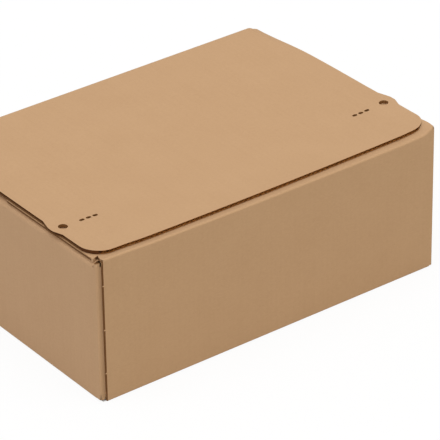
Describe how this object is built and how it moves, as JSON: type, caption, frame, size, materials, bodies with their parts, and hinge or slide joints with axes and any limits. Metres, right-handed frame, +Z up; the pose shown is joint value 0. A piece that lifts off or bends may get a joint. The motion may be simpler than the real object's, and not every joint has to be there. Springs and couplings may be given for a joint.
{
  "type": "corrugated cardboard shipping box",
  "caption": "Closed corrugated cardboard shipping box with a full-size hinged lid, tear tabs at its sides, folded inner flaps and a crash-lock bottom.",
  "frame": {"origin": "middle of the base, on the surface that the box stands on", "axes": "+X along the box's length, to the right seen from the front; +Y from the front wall to the lid's crease; +Z up"},
  "size_m": [0.498, 0.35, 0.19],
  "materials": {
    "kraft_board": "matte uncoated kraft liner",
    "tear_tape": "thin brown film tape",
    "adhesive": "translucent adhesive film",
    "release_paper": "smooth silicone paper"
  },
  "bodies": {
    "carton": {"carton": "kraft_board"},
    "lid": {"lid": "kraft_board", "tear_tape": "tear_tape", "adhesive_strip": "adhesive", "release_paper": "release_paper"}
  },
  "joints": [
    {"name": "lid_hinge", "type": "hinge", "parent": "carton", "child": "lid", "pos_m": [0, 0.175, 0.183], "axis": [-1, 0, 0], "range_deg": [0, 175]}
  ]
}
